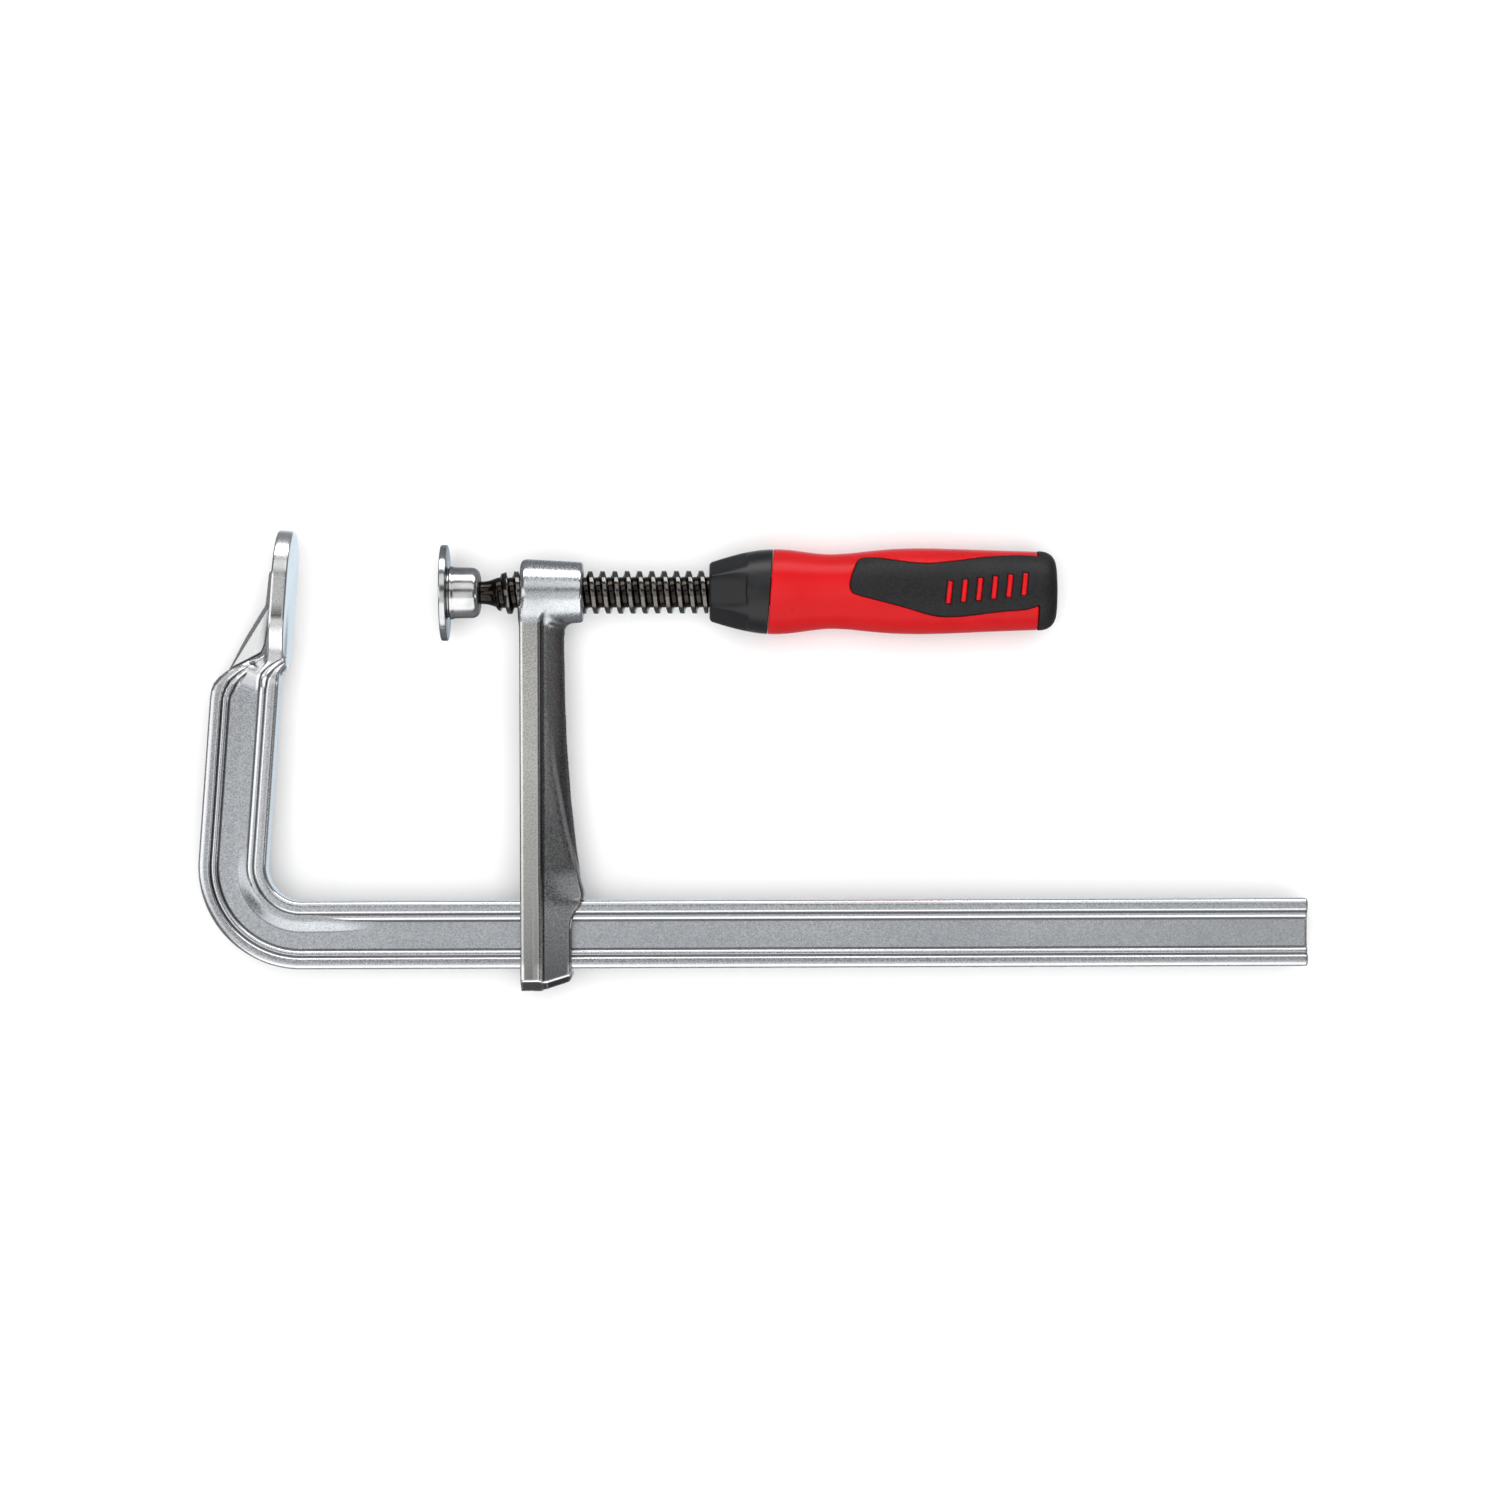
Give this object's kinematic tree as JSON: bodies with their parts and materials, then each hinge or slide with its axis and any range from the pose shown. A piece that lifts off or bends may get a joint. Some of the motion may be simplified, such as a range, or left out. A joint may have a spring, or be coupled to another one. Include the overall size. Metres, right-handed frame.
{
  "type": "f clamp",
  "caption": "Sliding-arm screw clamp: profiled rail bent into a fixed jaw, sliding arm with threaded boss, screw with tilting round plate, two-tone handle.",
  "frame": {"origin": "where the screw axis meets the face of the fixed jaw, in the clamp's middle plane", "axes": "+X along the rail toward its free end and along the screw, +Y from the rail to the screw, +Z out of the clamp's side; the clamp lies on its side"},
  "size_m": [0.3594, 0.1499, 0.0312],
  "materials": {
    "zinc_plated_rail": "zinc plated over drawn steel, fine matt grain",
    "forged_arm": "plated forging, grainy satin",
    "burnished_screw": "blackened and oiled",
    "ring_steel": "plain spring steel",
    "zinc_plated_plate": "bright zinc plated",
    "black_collar": "fine-textured moulded plastic",
    "red_plastic": "semi-gloss moulded plastic",
    "soft_black": "matt soft-touch elastomer"
  },
  "bodies": {
    "rail": {"rail_with_fixed_jaw": "zinc_plated_rail"},
    "arm": {"sliding_arm": "forged_arm"},
    "nose": {"pad_retaining_ring": "ring_steel"},
    "screw": {"spindle": "burnished_screw", "handle_front_collar": "black_collar", "handle_core": "red_plastic", "soft_grip": "soft_black"},
    "plate": {"pressure_plate": "zinc_plated_plate"}
  },
  "joints": [
    {"name": "arm_slide", "type": "slide", "parent": "rail", "child": "arm", "axis": [1, 0, 0], "range_m": [-0.004, 0.234]},
    {"name": "screw_travel", "type": "slide", "parent": "arm", "child": "nose", "axis": [1, 0, 0], "range_m": [-0.04, 0.011]},
    {"name": "screw_turn", "type": "hinge", "parent": "nose", "child": "screw", "pos_m": [0, 0, 0], "axis": [1, 0, 0], "range_deg": [-3599, 989]},
    {"name": "plate_tilt", "type": "hinge", "parent": "nose", "child": "plate", "pos_m": [0.0556, 0, 0], "axis": [0, 0, 1], "range_deg": [-10, 10]}
  ],
  "couplings": [
    {"joint": "screw_travel", "follows": "screw_turn", "m_per_rad": 0.00063662}
  ]
}
